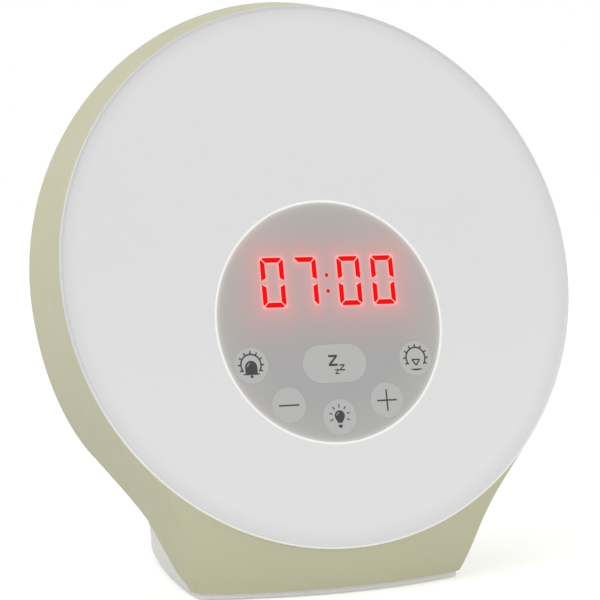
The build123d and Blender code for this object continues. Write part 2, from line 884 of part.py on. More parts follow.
with BuildPart() as led_board:
    with BuildSketch(face_plane(led_board_depth)):
        Circle(led_board_outer)
        Circle(led_board_inner, mode=Mode.SUBTRACT)
        with Locations(*led_screw_places):
            Circle(small_shank, mode=Mode.SUBTRACT)
    extrude(amount=-board_thickness)
save(led_board, "led_board")

with BuildPart() as led_chips:
    with BuildSketch(face_plane(led_board_depth)):
        with PolarLocations(led_ring_radius, led_count):
            Rectangle(led_size, led_size)
    extrude(amount=led_height)
save(led_chips, "led_chips")

with BuildPart() as led_board_screws:
    screw_set(face_plane(led_board_depth), led_screw_places, small_screw)
save(led_board_screws, "led_board_screws")

# ---------------------------------------------------------------------------------------------
# Control panel
# ---------------------------------------------------------------------------------------------

with BuildPart() as control_panel:
    with BuildSketch(panel_plane(face_recess)):
        Circle(panel_radius)
    extrude(amount=-panel_thickness)
    with BuildSketch(panel_plane(face_recess)):
        Circle(panel_radius)
        Circle(panel_radius - panel_skirt, mode=Mode.SUBTRACT)
    extrude(amount=-panel_skirt_length)
    pegs(panel_plane(key_board_depth), panel_boss_places, panel_boss_radius, key_board_depth - panel_back)
    drill(
        panel_plane(key_board_back - small_length), panel_boss_places, small_shank, small_length
    )
    with BuildSketch(panel_plane(face_recess)):
        with Locations(*round_keys.values()):
            Circle(round_key_radius + key_gap)
        with Locations(snooze_key_place):
            SlotOverall(snooze_key_size[0] + 2 * key_gap, snooze_key_size[1] + 2 * key_gap)
        time_outline()
    extrude(amount=-panel_thickness, mode=Mode.SUBTRACT)
save(control_panel, "control_panel")

with BuildPart() as display_digits:
    with BuildSketch(panel_plane(face_recess)):
        time_outline()
    extrude(amount=-panel_thickness)
save(display_digits, "display_digits")

with BuildPart() as display_module:
    with BuildSketch(panel_plane(panel_back)):
        with Locations((0, digit_rise)):
            RectangleRounded(*display_size, display_corner)
    extrude(amount=-(key_board_depth - panel_back))
save(display_module, "display_module")


def key_body(place, outline):
    """Key cap with a retaining flange behind the panel and a stem towards its switch."""
    with BuildSketch(panel_plane(face_recess)) as cap:
        with Locations(place):
            outline(0)
    extrude(cap.sketch, amount=-(panel_thickness + panel_gap))
    with BuildSketch(panel_plane(panel_back + panel_gap)) as flange:
        with Locations(place):
            outline(key_flange)
    extrude(flange.sketch, amount=-key_flange_thickness)
    with BuildSketch(panel_plane(panel_back + panel_gap)) as stem:
        with Locations(place):
            Circle(key_stem_radius)
    extrude(stem.sketch, amount=-(plunger_depth - key_travel - panel_gap - panel_back - panel_gap))


for name, place in round_keys.items():
    with BuildPart() as key:
        key_body(place, round_outline)
        fillet(front_edges(key), radius=key_edge)
    save(key, name)

with BuildPart() as snooze_key:
    key_body(snooze_key_place, snooze_outline)
    fillet(front_edges(snooze_key), radius=key_edge)
save(snooze_key, "snooze_key")

with BuildPart() as key_board:
    with BuildSketch(panel_plane(key_board_depth)):
        Circle(key_board_radius)
        with Locations(*panel_boss_places):
            Circle(small_shank, mode=Mode.SUBTRACT)
    extrude(amount=-board_thickness)
save(key_board, "key_board")

switch_places = [*round_keys.values(), snooze_key_place]
with BuildPart() as key_switches:
    with BuildSketch(panel_plane(switch_depth)):
        with Locations(*switch_places):
            RectangleRounded(switch_size, switch_size, switch_corner)
    extrude(amount=-switch_height)
    pegs(panel_plane(switch_depth), switch_places, switch_plunger_radius, switch_plunger_height)
save(key_switches, "key_switches")

with BuildPart() as panel_screws:
    screw_set(panel_plane(key_board_back), panel_boss_places, small_screw, -1)
save(panel_screws, "panel_screws")

# ---------------------------------------------------------------------------------------------
# Main board and ribbon
# ---------------------------------------------------------------------------------------------

with BuildPart() as main_board:
    with BuildSketch(face_plane(main_board_depth)):
        with Locations((0, -main_board_drop)):
            RectangleRounded(*main_board_size, board_corner)
        with Locations(*main_board_places):
            Circle(small_shank, mode=Mode.SUBTRACT)
    extrude(amount=-board_thickness)
save(main_board, "main_board")

with BuildPart() as main_board_screws:
    screw_set(face_plane(main_board_back), main_board_places, small_screw, -1)
save(main_board_screws, "main_board_screws")

with BuildPart() as ribbon_sockets:
    for plane, side in ((panel_plane(key_board_back), -1), (panel_plane(main_board_depth), 1)):
        with BuildSketch(plane):
            with Locations((0, -ribbon_drop)):
                Rectangle(ribbon_socket[0], ribbon_socket[1])
        extrude(amount=side * ribbon_socket[2])
save(ribbon_sockets, "ribbon_sockets")

with BuildPart() as ribbon_cable:
    with BuildSketch(panel_plane(key_board_back + ribbon_socket[2])):
        with Locations((0, -ribbon_drop)):
            Rectangle(ribbon_width, ribbon_thickness)
    extrude(amount=-(main_board_depth - key_board_back - 2 * ribbon_socket[2]))
save(ribbon_cable, "ribbon_cable")

with BuildPart() as board_chips:
    for across, down, width, height, thickness in chips:
        with BuildSketch(face_plane(main_board_back)):
            with Locations((across, -main_board_drop + down)):
                Rectangle(width, height)
        extrude(amount=-thickness)
save(board_chips, "board_chips")

with BuildPart() as board_capacitors:
    for across, down, radius, height in capacitors:
        pegs(face_plane(main_board_back), [(across, -main_board_drop + down)], radius, -height)
save(board_capacitors, "board_capacitors")

with BuildPart() as cell_holder:
    with BuildSketch(face_plane(main_board_back)):
        with Locations((cell_place[0], -main_board_drop + cell_place[1])):
            Circle(cell_radius + cell_holder_wall)
    extrude(amount=-(cell_thickness + cell_holder_floor - cell_proud))
    with BuildSketch(face_plane(main_board_back + cell_holder_floor)):
        with Locations((cell_place[0], -main_board_drop + cell_place[1])):
            Circle(cell_radius + screw_play)
    extrude(amount=-cell_thickness, mode=Mode.SUBTRACT)
save(cell_holder, "cell_holder")

with BuildPart() as coin_cell:
    with BuildSketch(face_plane(main_board_back + cell_holder_floor)):
        with Locations((cell_place[0], -main_board_drop + cell_place[1])):
            Circle(cell_radius)
    extrude(amount=-cell_thickness)
    chamfer(coin_cell.edges().filter_by(GeomType.CIRCLE), length=cell_edge)
save(coin_cell, "coin_cell")

# ---------------------------------------------------------------------------------------------
# Speaker and power inlet
# ---------------------------------------------------------------------------------------------

speaker_origin = speaker_plane(0).origin
speaker_section = Plane(origin=speaker_origin, x_dir=(1, 0, 0), z_dir=(0, 0, 1))
speaker_axis = Axis(speaker_origin, (0, 1, 0))
basket_back = speaker_flange_back - speaker_depth
cone_seat = speaker_front - speaker_cone_seat

with BuildPart() as speaker_frame:
    with BuildSketch(speaker_section):
        with BuildLine():
            Polyline(
                (0, basket_back - speaker_magnet_depth),
                (speaker_magnet_radius, basket_back - speaker_magnet_depth),
                (speaker_magnet_radius, basket_back),
                (speaker_basket_back, basket_back),
                (speaker_basket_front, speaker_flange_back),
                (speaker_radius, speaker_flange_back),
                (speaker_radius, speaker_front),
                (speaker_cone_radius, speaker_front),
                (speaker_cone_radius, cone_seat),
                (speaker_cone_radius - speaker_surround, cone_seat),
                (speaker_basket_back - speaker_sheet, basket_back + speaker_sheet),
                (0, basket_back + speaker_sheet),
                close=True,
            )
        make_face()
    revolve(axis=speaker_axis)
    drill(speaker_plane(speaker_flange_back), speaker_screw_places, small_shank, speaker_flange)
save(speaker_frame, "speaker_frame")

with BuildPart() as speaker_cone:
    with BuildSketch(speaker_section):
        with BuildLine():
            Polyline(
                (0, cone_bottom + cone_cap),
                (speaker_cone_well, cone_bottom),
                (speaker_cone_radius - speaker_surround, cone_seat),
                (speaker_cone_radius - screw_play, cone_seat),
                (speaker_cone_radius - screw_play, cone_seat + speaker_cone_thickness),
                (speaker_cone_radius - speaker_surround, cone_seat + speaker_cone_thickness),
                (speaker_cone_well, cone_bottom + speaker_cone_thickness),
                (0, cone_bottom + cone_cap + speaker_cone_thickness),
                close=True,
            )
        make_face()
    revolve(axis=speaker_axis)
save(speaker_cone, "speaker_cone")

with BuildPart() as speaker_gasket_ring:
    with BuildSketch(speaker_plane(speaker_front)):
        Circle(speaker_radius)
        Circle(speaker_cone_radius, mode=Mode.SUBTRACT)
        with Locations(*speaker_screw_places):
            Circle(small_shank, mode=Mode.SUBTRACT)
    extrude(amount=-speaker_gasket)
save(speaker_gasket_ring, "speaker_gasket")

with BuildPart() as speaker_screws:
    screw_set(speaker_plane(speaker_flange_back), speaker_screw_places, speaker_screw)
save(speaker_screws, "speaker_screws")

with BuildPart() as dc_socket:
    with BuildSketch(socket_plane(socket_body_back)):
        RectangleRounded(socket_body[0], socket_body_height, socket_corner)
    extrude(amount=socket_body[1])
    with BuildSketch(socket_plane(socket_face_depth)):
        Circle(socket_nose_radius)
    extrude(amount=socket_nose_length)
    drill(
        socket_plane(socket_face_depth - socket_bore_depth),
        [(0, 0)],
        socket_bore_radius,
        socket_bore_depth,
    )
    with BuildSketch(socket_plane(socket_face_depth - socket_pin_set_back)):
        Circle(socket_pin_radius)
    extrude(amount=socket_bore_depth - socket_pin_set_back)
save(dc_socket, "dc_socket")
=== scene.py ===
import json
import math

import bmesh
import bpy
from mathutils import Matrix, Vector

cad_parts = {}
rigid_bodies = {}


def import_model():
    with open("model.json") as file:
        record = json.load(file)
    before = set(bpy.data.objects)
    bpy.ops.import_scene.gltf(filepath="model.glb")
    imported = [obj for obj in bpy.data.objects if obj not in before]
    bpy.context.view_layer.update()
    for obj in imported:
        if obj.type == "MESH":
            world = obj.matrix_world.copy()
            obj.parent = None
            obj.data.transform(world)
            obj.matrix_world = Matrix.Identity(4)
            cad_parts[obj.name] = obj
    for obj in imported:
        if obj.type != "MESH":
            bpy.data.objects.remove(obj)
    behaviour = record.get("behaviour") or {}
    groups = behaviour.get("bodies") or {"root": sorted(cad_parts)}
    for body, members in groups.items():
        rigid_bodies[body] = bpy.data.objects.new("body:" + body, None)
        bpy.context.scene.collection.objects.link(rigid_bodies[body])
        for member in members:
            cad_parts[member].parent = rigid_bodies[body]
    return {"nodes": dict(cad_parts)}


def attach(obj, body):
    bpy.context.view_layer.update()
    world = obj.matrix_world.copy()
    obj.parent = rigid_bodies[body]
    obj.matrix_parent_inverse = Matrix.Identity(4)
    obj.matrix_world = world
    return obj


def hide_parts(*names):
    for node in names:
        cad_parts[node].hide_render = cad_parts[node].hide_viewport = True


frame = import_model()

# The clock's finishes, printed symbols, lights and camera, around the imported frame.  Lengths are in
# metres.  The face frame has its origin at the middle of the disc, x to the right, y up the face
# and z out of it.  The panel's frame is parallel to it, from the middle of the panel.

nodes = frame["nodes"]
for stray in [thing for thing in bpy.data.objects if thing.name in ("Cube", "Light", "Camera")]:
    bpy.data.objects.remove(stray)
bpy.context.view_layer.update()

mm = 0.001

# ---- Sizes shared with the frame ---------------------------------------------------------------

lean = math.radians(13.25)
disc_centre = Vector((0, -40.028, 102.5)) * mm
disc_radius = 88.75 * mm
face_recess = 1.5 * mm
panel_drop = 16.1 * mm
panel_radius = 38.9 * mm

key_places = {              # millimetres on the panel
    "alarm_key": (-28.8, -13.2),
    "sunset_key": (28.8, -13.2),
    "minus_key": (-17.1, -26.4),
    "plus_key": (17.1, -26.4),
    "lamp_key": (0, -31),
    "snooze_key": (0, -13.7),
}
round_key_radius = 5.7 * mm
snooze_length = 22 * mm
snooze_width = 12.2 * mm
opening_gap = 0.15 * mm     # from a key of the frame to its opening

digit_rise = 13 * mm
digit_height = 16.1 * mm
digit_width = 8 * mm
segment_width = 1.6 * mm
segment_waist = 1.05 * mm   # half the unlit band between a digit's upper and lower half
zero_places = [-18.8 * mm, 7.9 * mm, 19.9 * mm]
seven_place = -7.4 * mm
colon_places = [(0, 15 * mm), (0, 9.8 * mm)]
colon_radius = 0.65 * mm

face_frame = Matrix.Translation(disc_centre) @ Matrix.Rotation(math.pi / 2 - lean, 4, "X")
panel_frame = face_frame @ Matrix.Translation((0, -panel_drop, -face_recess))

# ---- Sizes of the dressing -----------------------------------------------------------------------

cap_gap = 0.03 * mm         # round a key's cap
cap_thickness = 0.6 * mm
print_thickness = 0.04 * mm
dark_coat, pale_coat = 0, 1     # the symbols' ink, and the highlights printed over it

sun_radius = 3.4 * mm
sun_stroke = 0.48 * mm
sun_rise = 0.15 * mm
ray_length = 0.95 * mm
ray_stroke = 0.44 * mm
sign_reach = 3.45 * mm      # half a plus or minus sign
sign_stroke = 0.48 * mm

# painted light: the digits' red light painted into the film's own colour
painted_digit_reach, painted_digit_share = 3.8 * mm, 0.9        # each glow halves over its reach
halo_reach = 0.22 * mm
dot_halo_reach, dot_halo_share = 0.25 * mm, 0.25
rim_glow_reach, rim_glow_share = 0.5 * mm, 0.6
panel_glow = 0.6
warm_reach, warm_share = 16 * mm, 0.9           # the panel's warm edge

edge_shade_width, edge_shade_tone = 7 * mm, 0.975            # painted shade: the disc darker towards its edge
low_disc, high_disc = -60 * mm, 40 * mm         # heights between which its painted light changes
lower_light_share = 1.02                                 # painted light: its lower part lighter
case_glow_foot, case_glow_top = -50 * mm, 0             # heights where a painted glow in the case's colour lifts the shade along the rim
case_glow_inner, case_glow_outer = 0.7 * mm, 0.2 * mm   # from the disc's edge, where that fades in
case_glow_strength = 0.25

# ---- Colours, as the finished surfaces show them (red, green, blue out of 255) -------------------

sage = (201, 199, 170)
shell_white = (238, 237, 234)
opal = (224, 224, 225)
panel_grey = (168, 169, 169)
panel_warm = (178, 177, 173)
key_grey = (185, 185, 184)
ink = (66, 66, 66)
# painted light in the case's colour, for the disc's lower rim
case_glow_colour = (232, 228, 200)
lamp_white = (255, 253, 249)
display_red = (238, 12, 12)
display_pink = (255, 112, 106)
# painted light from the digits, on the panel film
painted_digit_light = (226, 165, 163)
floor_white = (243, 243, 243)

white_light = (1, 1, 1, 1)
sky_light = (1, 0.999, 0.996, 1)
unlit = (0, 0, 0, 1)


def linear(colour):
    """A screen colour as the linear red, green, blue and alpha that a shader takes."""
    channels = [part / 255 for part in colour]
    return [c / 12.92 if c <= 0.04045 else ((c + 0.055) / 1.055) ** 2.4 for c in channels] + [1]


def shade(colour, share):
    """The same colour, lighter or darker."""
    return tuple(min(255, part * share) for part in colour)


# ---- Objects, meshes and nodes -------------------------------------------------------------------

def in_scene(name, data):
    """A new object in the scene, from its mesh, lamp or camera."""
    made = bpy.data.objects.new(name, data)
    bpy.context.scene.collection.objects.link(made)
    return made


def mesh_from(form, name):
    """The mesh that a form holds, which uses the form up."""
    mesh = bpy.data.meshes.new(name)
    form.to_mesh(mesh)
    form.free()
    return mesh


def wire(tree, node, inputs):
    """Give a node its plain inputs and its links."""
    for name, value in inputs.items():
        if isinstance(value, bpy.types.NodeSocket):
            tree.links.new(value, node.inputs[name])
        else:
            node.inputs[name].default_value = value


def put(tree, kind, inputs=None, **settings):
    """A new node of a tree, with its settings, its plain inputs and its links."""
    made = tree.nodes.new(kind)
    for name, value in settings.items():
        setattr(made, name, value)
    wire(tree, made, inputs or {})
    return made


def maths(tree, operation, first, second=0.0, third=0.0):
    """The result of one sum on numbers or number sockets."""
    inputs = {0: first, 1: second, 2: third}
    return put(tree, "ShaderNodeMath", inputs, operation=operation).outputs[0]


def vector_maths(tree, operation, first, second=(0, 0, 0)):
    """The vector that one sum on vectors gives."""
    inputs = {0: first, 1: second}
    return put(tree, "ShaderNodeVectorMath", inputs, operation=operation).outputs["Vector"]


def length_of(tree, vector):
    """The length of a vector."""
    return put(tree, "ShaderNodeVectorMath", {0: vector}, operation="LENGTH").outputs["Value"]


def ramp(tree, value, low, high, start=0.0, end=1.0):
    """Value mapped smoothly from low..high to start..end, and held there outside."""
    inputs = {"Value": value, "From Min": low, "From Max": high, "To Min": start, "To Max": end}
    made = put(tree, "ShaderNodeMapRange", inputs, interpolation_type="SMOOTHSTEP")
    return made.outputs["Result"]


def mixed(tree, share, first, second, blend="MIX"):
    """Two colours or colour sockets, mixed by a share."""
    inputs = {0: share, 6: first, 7: second}
    return put(tree, "ShaderNodeMix", inputs, data_type="RGBA", blend_type=blend).outputs[2]


def noise(tree, place, scale, detail=2.0, roughness=0.5):
    """Noise over a place, with so many waves to a metre."""
    inputs = {"Vector": place, "Scale": scale, "Detail": detail, "Roughness": roughness}
    return put(tree, "ShaderNodeTexNoise", inputs).outputs["Fac"]


def object_place(tree):
    """The place on the object, in the frame's axes."""
    return put(tree, "ShaderNodeTexCoord").outputs["Object"]


# ---- Kinds of material ---------------------------------------------------------------------------

noise_band = (0.3, 0.7)     # most of what noise gives lies in here


def new_material(name):
    """A material with its bare shader and the place on the object."""
    material = bpy.data.materials.new(name)
    material.use_nodes = True
    tree = material.node_tree
    tree.nodes.clear()
    shader = put(tree, "ShaderNodeBsdfPrincipled")
    put(tree, "ShaderNodeOutputMaterial", {"Surface": shader.outputs[0]})
    return material, tree, shader, object_place(tree)


def mottle(tree, place, colour, spread, scale):
    """A colour that drifts a little lighter and darker over the surface."""
    drift = noise(tree, place, scale, 3.0)
    return mixed(tree, drift, linear(shade(colour, 1 - spread)), linear(shade(colour, 1 + spread)))


def relief(tree, shader, height, depth):
    """Give a surface the shape of a height map, so deep."""
    bump = put(tree, "ShaderNodeBump", {"Height": height, "Strength": 1.0, "Distance": depth})
    wire(tree, shader, {"Normal": bump.outputs["Normal"]})


def grain(tree, place, scale, depth, shader, detail=2.0):
    """Fine moulded texture: so many grains to a metre, so deep."""
    relief(tree, shader, noise(tree, place, scale, detail, 0.6), depth)


def worn_roughness(tree, place, shader, middle, spread, scale):
    """Roughness that changes a little where a surface was handled."""
    patch = noise(tree, place, scale, 4.0, 0.65)
    worn = ramp(tree, patch, *noise_band, middle - spread, middle + spread)
    wire(tree, shader, {"Roughness": worn})


def moulded(name, colour, roughness=0.5, spread=0.012, grains=1800, depth=0.01 * mm, specular=0.4):
    """Moulded plastic with a fine spark-eroded grain, slight flow marks and handling marks."""
    flow_marks, handling_marks, darkest_speck = 28, 60, 0.985
    material, tree, shader, place = new_material(name)
    base = mottle(tree, place, colour, spread, flow_marks)
    speck = ramp(tree, noise(tree, place, grains * 0.8, 1.0), *noise_band, darkest_speck, 1.0)
    wire(tree, shader, {
        "Base Color": mixed(tree, 1.0, base, speck, "MULTIPLY"), "Specular IOR Level": specular})
    grain(tree, place, grains, depth, shader)
    worn_roughness(tree, place, shader, roughness, 0.06, handling_marks)
    return material


def metal(name, colour, roughness=0.3, scratches=900):
    """Bare metal with fine turned scratches and a little tarnish."""
    stretch, scratch_depth = (1, 1, 9), 0.012 * mm
    material, tree, shader, place = new_material(name)
    stretched = put(tree, "ShaderNodeMapping", {"Vector": place, "Scale": stretch})
    wire(tree, shader, {"Base Color": mottle(tree, place, colour, 0.06, 320), "Metallic": 1.0})
    grain(tree, stretched.outputs["Vector"], scratches, scratch_depth, shader, 3.0)
    worn_roughness(tree, place, shader, roughness, 0.1, 420)
    return material


def circuit(name, mask, copper):
    """Circuit board: solder mask over narrow copper tracks, with small bare pads."""
    track_width, track_length, track_pitch, track_height = 0.2 * mm, 5.5 * mm, 1.7 * mm, 0.03 * mm
    pads, pad_core, pad_edge = 260.0, 0.16, 0.2
    material, tree, shader, place = new_material(name)
    turned = put(tree, "ShaderNodeMapping", {"Vector": place, "Rotation": (math.pi / 2, 0, 0)})
    flat = turned.outputs["Vector"]
    tracks = put(tree, "ShaderNodeTexBrick", {
        "Vector": flat, "Scale": 1.0, "Mortar Size": track_width, "Mortar Smooth": 0.1,
        "Brick Width": track_length, "Row Height": track_pitch}, offset_frequency=3).outputs["Fac"]
    cells = put(tree, "ShaderNodeTexVoronoi", {"Vector": flat, "Scale": pads})
    pad = ramp(tree, cells.outputs["Distance"], pad_core, pad_edge, 1.0, 0.0)
    base = mixed(tree, tracks, mottle(tree, place, mask, 0.05, 90), linear(shade(mask, 1.25)))
    wire(tree, shader, {
        "Base Color": mixed(tree, pad, base, linear(copper)),
        "Roughness": ramp(tree, pad, 0, 1, 0.38, 0.25)})
    relief(tree, shader, tracks, track_height)
    return material


def glowing(name, colour, strength, flicker, base_share=0.5, specular=0.4):
    """A lit light guide, a little uneven along its length."""
    ripples, marks = 240, 300
    material, tree, shader, place = new_material(name)
    wire(tree, shader, {
        "Emission Color": mottle(tree, place, colour, flicker, ripples),
        "Base Color": mottle(tree, place, shade(colour, base_share), flicker, ripples),
        "Emission Strength": strength, "Specular IOR Level": specular})
    worn_roughness(tree, place, shader, 0.4, 0.05, marks)
    return material


# ---- Distances on the panel ----------------------------------------------------------------------

def panel_place(tree):
    """The place on the panel: x across it, y up it, from its middle."""
    flat = put(tree, "ShaderNodeMapping", {
        "Vector": object_place(tree), "Location": tuple(panel_frame.translation),
        "Rotation": (math.pi / 2 - lean, 0, 0)}, vector_type="TEXTURE").outputs["Vector"]
    return vector_maths(tree, "MULTIPLY", flat, (1, 1, 0))


def rise_of(tree, place):
    """How far up the panel a place is."""
    return put(tree, "ShaderNodeSeparateXYZ", {0: place}).outputs["Y"]


def distance_from(tree, place, centre):
    """How far a place is from a centre on the panel."""
    return length_of(tree, vector_maths(tree, "SUBTRACT", place, (*centre, 0)))


def box_distance(tree, place, centre, half):
    """How far a place is outside an upright box on the panel (below zero inside it)."""
    away = vector_maths(tree, "SUBTRACT", place, (*centre, 0))
    over = vector_maths(tree, "SUBTRACT", vector_maths(tree, "ABSOLUTE", away), (*half, 1.0))
    outside = length_of(tree, vector_maths(tree, "MAXIMUM", over))
    parts = put(tree, "ShaderNodeSeparateXYZ", {0: over}).outputs
    inside = maths(tree, "MINIMUM", maths(tree, "MAXIMUM", parts["X"], parts["Y"]), 0.0)
    return maths(tree, "ADD", outside, inside)


def strokes_distance(tree, place):
    """How far a place is from the nearest lit stroke of the display."""
    half_stroke = segment_width / 2
    half = (digit_width / 2 - half_stroke, digit_height / 2 - half_stroke)
    nearest = None
    for across in zero_places:
        ring = maths(tree, "ABSOLUTE", box_distance(tree, place, (across, digit_rise), half))
        nearest = ring if nearest is None else maths(tree, "MINIMUM", nearest, ring)
    inset = half_stroke / 2
    top_middle = (seven_place + inset, digit_rise + half[1])
    side_middle = (seven_place + half[0], digit_rise + inset)
    top = box_distance(tree, place, top_middle, (half[0] - inset, 0))
    side = box_distance(tree, place, side_middle, (0, half[1] - inset))
    nearest = maths(tree, "MINIMUM", nearest, maths(tree, "MINIMUM", top, side))
    from_waist = maths(tree, "SUBTRACT", rise_of(tree, place), digit_rise)
    waist = maths(tree, "SUBTRACT", segment_waist, maths(tree, "ABSOLUTE", from_waist))
    return maths(tree, "MAXIMUM", maths(tree, "SUBTRACT", nearest, half_stroke), waist)


def dots_distance(tree, place):
    """How far a place is from the edge of the nearest dot of the colon."""
    upper, lower = [distance_from(tree, place, centre) for centre in colon_places]
    return maths(tree, "SUBTRACT", maths(tree, "MINIMUM", upper, lower), colon_radius)


def falloff(tree, distance, reach):
    """A glow that halves over each reach of distance."""
    held = maths(tree, "MAXIMUM", distance, 0.0)
    return maths(tree, "POWER", 0.5, maths(tree, "DIVIDE", held, reach))


# ---- Finishes of the frame's nodes ---------------------------------------------------------------

def panel_finish():
    """Translucent panel film: painted red light round the digits, warm at its rim, evenly grey
    between.
    """
    material, tree, shader, place = new_material("panel_film")
    flat = panel_place(tree)
    strokes = strokes_distance(tree, flat)
    to_rim = maths(tree, "SUBTRACT", panel_radius, length_of(tree, flat))

    warmth = ramp(tree, to_rim, 0, warm_reach, warm_share, 0.0)
    warm = mixed(tree, warmth, mottle(tree, place, panel_grey, 0.01, 60), linear(panel_warm))
    # painted red light from the digits, in the film's base colour
    painted_digit_mask = maths(tree, "MULTIPLY", falloff(tree, strokes, painted_digit_reach), painted_digit_share)

    dot_halo = falloff(tree, dots_distance(tree, flat), dot_halo_reach)
    dot_halo = maths(tree, "MULTIPLY", dot_halo, dot_halo_share)
    halo = maths(tree, "MAXIMUM", falloff(tree, strokes, halo_reach), dot_halo)
    halo_light = mixed(tree, halo, unlit, linear(display_pink))
    rim_glow = falloff(tree, to_rim, rim_glow_reach)
    rim_light = mixed(tree, rim_glow, unlit, linear(shade(lamp_white, rim_glow_share)))

    wire(tree, shader, {
        "Base Color": mixed(tree, painted_digit_mask, warm, linear(painted_digit_light)),
        "Emission Color": mixed(tree, 1.0, halo_light, rim_light, "ADD"),
        "Emission Strength": panel_glow, "Specular IOR Level": 0.3})
    grain(tree, place, 2600, 0.004 * mm, shader)
    worn_roughness(tree, place, shader, 0.5, 0.05, 80)
    return material


def opal_finish():
    """Translucent white disc, with painted shade at its edge, painted light on its lower part and a
    painted glow of the case's colour along its lower rim.
    """
    material, tree, shader, place = new_material("opal_disc")
    flat = panel_place(tree)
    from_disc = distance_from(tree, flat, (0, panel_drop))
    rise = rise_of(tree, flat)
    # painted light: the disc lighter towards the bottom
    low = ramp(tree, rise, low_disc, high_disc, 1.0, 0.0)
    whole = mixed(tree, low, mottle(tree, place, opal, 0.004, 16), linear(shade(opal, lower_light_share)))
    # painted shade towards the disc's edge
    edge = ramp(tree, from_disc, disc_radius - edge_shade_width, disc_radius)
    # painted glow in the case's colour along the lower rim, where shade falls
    outer = ramp(tree, from_disc, disc_radius - case_glow_inner, disc_radius - case_glow_outer)
    case_glow = maths(tree, "MULTIPLY", outer, ramp(tree, rise, case_glow_top, case_glow_foot))
    wire(tree, shader, {
        "Base Color": mixed(tree, edge, whole, linear(shade(opal, edge_shade_tone))),
        "Emission Color": mixed(tree, case_glow, unlit, linear(case_glow_colour)),
        "Emission Strength": case_glow_strength, "Specular IOR Level": 0.35,
        "Subsurface Weight": 0.15, "Subsurface Radius": (2 * mm, 1.8 * mm, 1.6 * mm)})
    grain(tree, place, 2400, 0.004 * mm, shader)
    worn_roughness(tree, place, shader, 0.42, 0.04, 40)
    return material


sage_plastic = moulded("sage_case", sage, 0.55)
white_plastic = moulded("white_case", shell_white, 0.45)
opal_disc = opal_finish()
panel_film = panel_finish()
key_film = moulded("key_film", key_grey, spread=0.008, grains=2600, depth=0.004 * mm, specular=0.3)
ring_light = glowing("ring_light", lamp_white, 0.7, 0.02)
digit_light = glowing("digit_light", display_red, 0.95, 0.03, base_share=0.06, specular=0.05)
black_plastic = moulded("black_plastic", (34, 34, 36), 0.42)
inner_plastic = moulded("inner_plastic", (205, 205, 203))
reflector_white = moulded("reflector_white", (238, 238, 236), 0.35)
socket_white = moulded("socket_white", (228, 226, 216), 0.4)
foot_rubber = moulded("foot_rubber", (62, 62, 63), 0.85, 0.05, 2400, 0.03 * mm, 0.2)
ribbon_film = moulded("ribbon_film", (196, 192, 182), 0.35)
speaker_paper = moulded("speaker_paper", (40, 40, 43), 0.9, 0.12, 1500, 0.06 * mm, 0.15)
foam_gasket = moulded("foam_gasket", (52, 52, 54), 0.95, 0.08, 1100, 0.12 * mm, 0.1)
amber_die = glowing("amber_die", (250, 226, 150), 0.2, 0.05)
steel = metal("screw_steel", (176, 176, 178), 0.32)
can_metal = metal("can_metal", (198, 198, 201), 0.28, 500)
cell_steel = metal("cell_steel", (205, 205, 207), 0.22, 1200)
speaker_steel = metal("speaker_steel", (150, 151, 155), 0.4)
green_board = circuit("green_board", (38, 92, 60), (198, 168, 92))
white_board = circuit("white_board", (226, 228, 226), (206, 186, 130))

finishes = {
    "front_shroud": sage_plastic,
    "rear_shell": white_plastic,
    "base_plate": white_plastic,
    "diffuser": opal_disc,
    "light_ring": ring_light,
    "control_panel": panel_film,
    "display_digits": digit_light,
    "display_module": black_plastic,
    "panel_pod": inner_plastic,
    "reflector_tray": reflector_white,
    "key_board": green_board,
    "main_board": green_board,
    "led_board": white_board,
    "led_chips": amber_die,
    "key_switches": black_plastic,
    "board_chips": black_plastic,
    "board_capacitors": can_metal,
    "cell_holder": black_plastic,
    "coin_cell": cell_steel,
    "dc_socket": black_plastic,
    "ribbon_cable": ribbon_film,
    "ribbon_sockets": socket_white,
    "rubber_feet": foot_rubber,
    "speaker_frame": speaker_steel,
    "speaker_cone": speaker_paper,
    "speaker_gasket": foam_gasket,
}
for screwed in ("base", "case", "led_board", "main_board", "panel", "speaker", "tray"):
    finishes[screwed + "_screws"] = steel
for key in key_places:
    finishes[key] = key_film
for name, material in finishes.items():
    nodes[name].data.materials.clear()
    nodes[name].data.materials.append(material)


# ---- Key caps ------------------------------------------------------------------------------------

def bend(centre, radius, first, last, steps=24):
    """Points along an arc, by its first and last angles in degrees."""
    turns = [math.radians(first + (last - first) * step / steps) for step in range(steps + 1)]
    return [(centre[0] + radius * math.cos(a), centre[1] + radius * math.sin(a)) for a in turns]


def rounded_bar(straight, radius):
    """Outline of a bar with round ends, or of a circle where it has no straight part."""
    right = [(straight + x, y) for x, y in bend((0, 0), radius, -90, 90)]
    left = [(-x, -y) for x, y in right]
    return right[:-1] + left[:-1] if straight == 0 else right + left


def prism(form, outline, foot, top):
    """The faces of a closed form that rises from its outline, between two heights."""
    low = [form.verts.new((x, y, foot)) for x, y in outline]
    high = [form.verts.new((x, y, top)) for x, y in outline]
    faces = [form.faces.new(list(reversed(low))), form.faces.new(high)]
    for here in range(len(outline)):
        after = (here + 1) % len(outline)
        faces.append(form.faces.new((low[here], low[after], high[after], high[here])))
    return faces


def key_middle(key):
    """The middle of a key, across and up the panel."""
    return [part * mm for part in key_places[key]]


